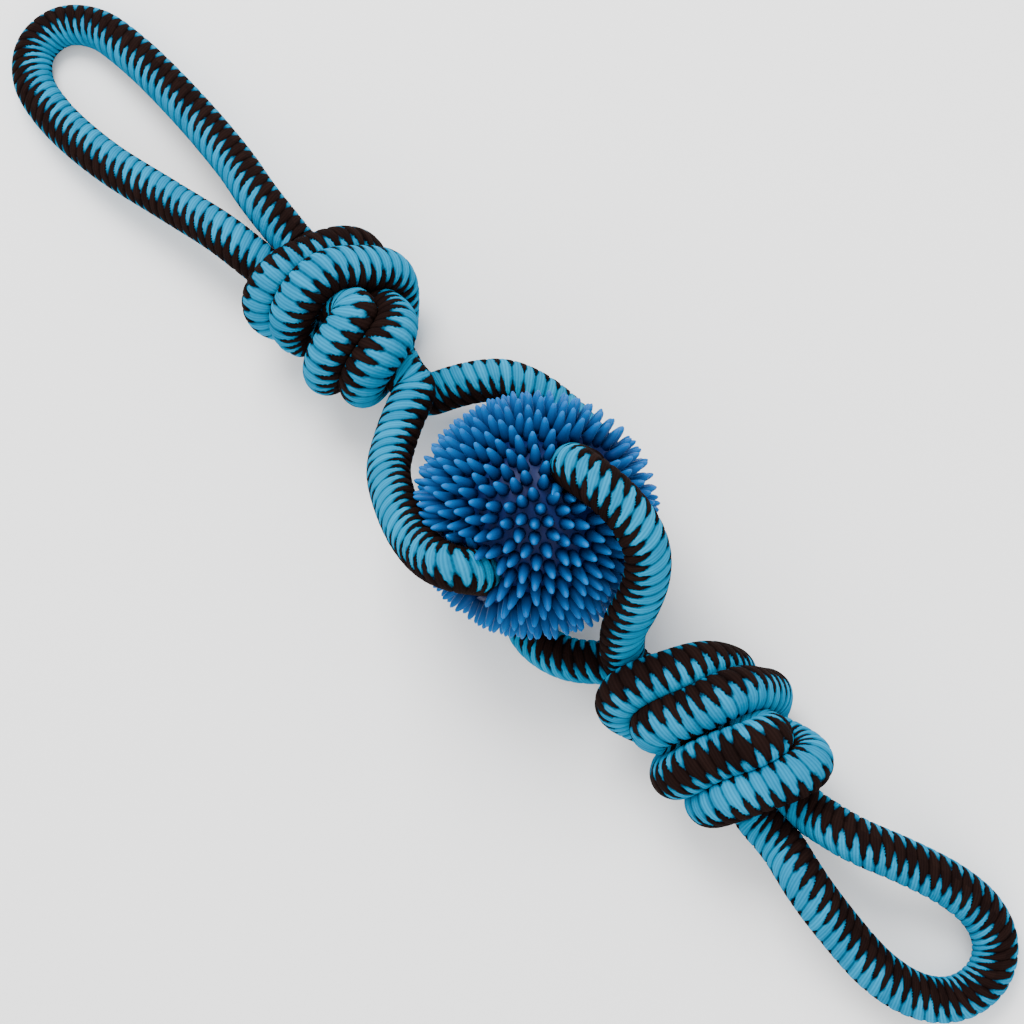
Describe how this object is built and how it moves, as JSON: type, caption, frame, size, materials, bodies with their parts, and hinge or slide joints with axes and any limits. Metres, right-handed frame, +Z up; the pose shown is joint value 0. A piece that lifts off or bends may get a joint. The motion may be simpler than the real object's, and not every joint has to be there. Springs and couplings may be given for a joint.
{
  "type": "rope tug toy",
  "caption": "Rope tug toy: a hollow spiky rubber ball threaded on a doubled rope between overhand knots, with a hand loop at each end.",
  "frame": {"origin": "on the floor under the middle of the toy's box", "axes": "+X along the toy from the long hand loop to the short one, +Z up from the floor that it lies on"},
  "size_m": [0.5021, 0.0833, 0.0914],
  "materials": {
    "ball": "soft satin blue rubber",
    "rope": "braided rope, bright blue and near-black in toothed rows"
  },
  "bodies": {
    "ball": {"spiky_ball": "ball", "lower_strand": "rope", "upper_strand": "rope"},
    "left_knot": {"left_knot_rope_1": "rope", "left_knot_rope_2": "rope"},
    "left_handle": {"left_handle_loop": "rope"},
    "right_knot": {"right_knot_rope_1": "rope", "right_knot_rope_2": "rope"},
    "right_handle": {"right_handle_loop": "rope"}
  },
  "joints": [
    {"name": "left_knot_swing", "type": "hinge", "parent": "ball", "child": "left_knot", "pos_m": [-0.03135, 0.003, 0.0238], "axis": [0, 0, 1], "range_deg": [-20, 30]},
    {"name": "left_handle_fold", "type": "hinge", "parent": "left_knot", "child": "left_handle", "pos_m": [-0.11055, 0.003, 0.0238], "axis": [0, 1, 0], "range_deg": [0, 85]},
    {"name": "right_knot_swing", "type": "hinge", "parent": "ball", "child": "right_knot", "pos_m": [0.08635, -0.014, 0.02297], "axis": [0, 0, 1], "range_deg": [-30, 30]},
    {"name": "right_handle_fold", "type": "hinge", "parent": "right_knot", "child": "right_handle", "pos_m": [0.16805, -0.014, 0.02297], "axis": [0, -1, 0], "range_deg": [0, 70]}
  ]
}
